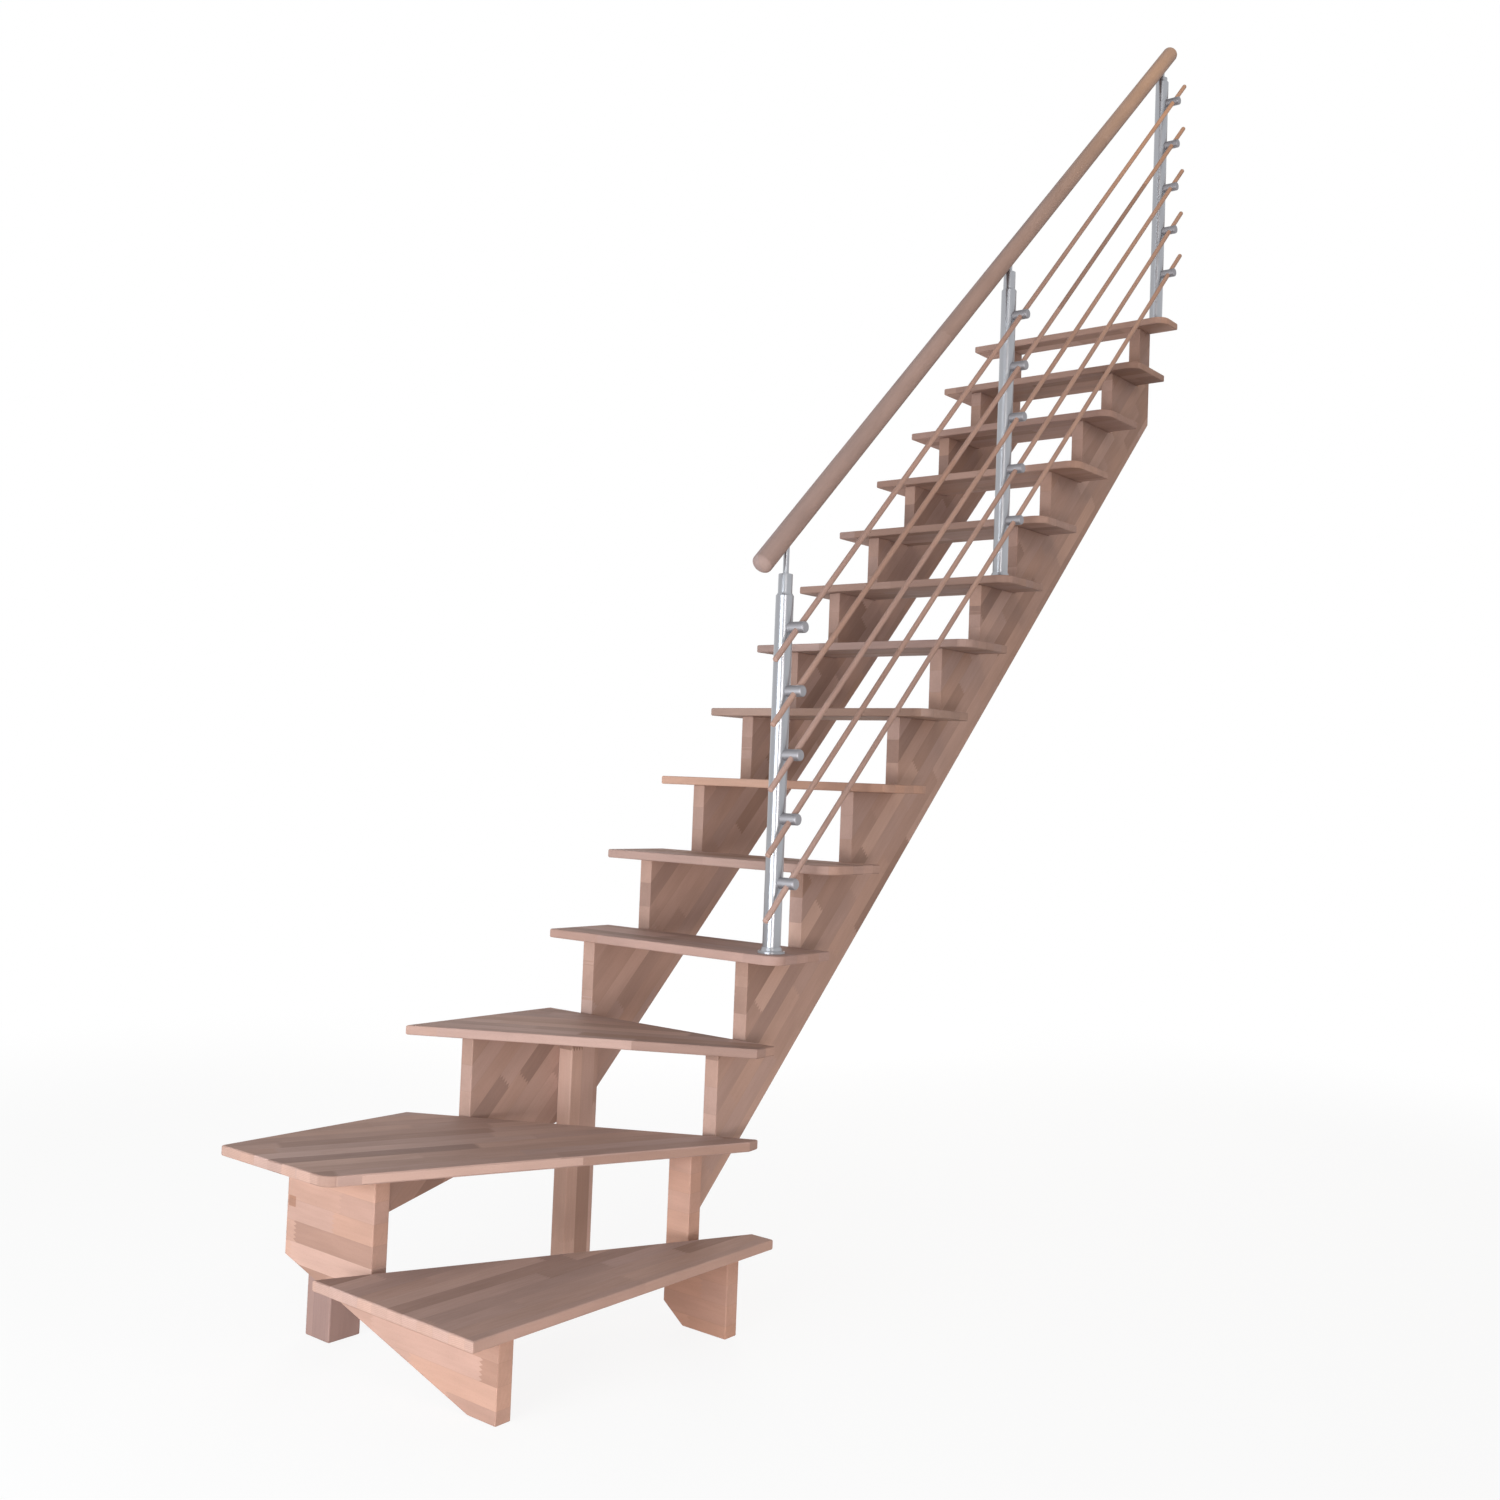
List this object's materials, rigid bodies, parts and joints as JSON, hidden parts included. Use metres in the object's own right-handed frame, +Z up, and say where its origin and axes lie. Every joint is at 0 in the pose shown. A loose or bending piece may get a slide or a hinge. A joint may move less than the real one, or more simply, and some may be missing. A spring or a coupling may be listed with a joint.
{
  "type": "quarter-turn wooden staircase",
  "caption": "Open-riser wooden staircase with a quarter turn of winders, saw-tooth strings under the treads and a rod railing with a round handrail on one side.",
  "frame": {"origin": "centre of the corner post's foot, on the lower floor at the outside of the turn", "axes": "+Z up, +Y up the straight flight, +X towards the railing side, where the first tread is entered"},
  "size_m": [0.789, 3.0799, 3.7675],
  "materials": {
    "beech_tread": "oiled",
    "beech_string": "oiled",
    "beech_rail": "oiled",
    "steel_tube": "satin",
    "steel_clamp": "satin"
  },
  "bodies": {
    "root": {"tread_01": "beech_tread", "tread_02": "beech_tread", "tread_03": "beech_tread", "tread_04": "beech_tread", "tread_05": "beech_tread", "tread_06": "beech_tread", "tread_07": "beech_tread", "tread_08": "beech_tread", "tread_09": "beech_tread", "tread_10": "beech_tread", "tread_11": "beech_tread", "tread_12": "beech_tread", "tread_13": "beech_tread", "tread_14": "beech_tread", "south_string": "beech_string", "inner_string": "beech_string", "west_lower_string": "beech_string", "west_main_string": "beech_string", "east_main_string": "beech_string", "corner_post": "beech_string", "west_post": "beech_string", "rail_bases": "steel_tube", "rail_sleeves": "steel_tube", "rail_pins": "steel_tube", "rail_tube_1": "steel_tube", "rod_clamps_1": "steel_clamp", "rail_tube_2": "steel_tube", "rod_clamps_2": "steel_clamp", "rail_tube_3": "steel_tube", "rod_clamps_3": "steel_clamp", "rail_rod_1": "beech_rail", "rail_rod_2": "beech_rail", "rail_rod_3": "beech_rail", "rail_rod_4": "beech_rail", "rail_rod_5": "beech_rail", "handrail": "beech_rail"}
  },
  "joints": []
}
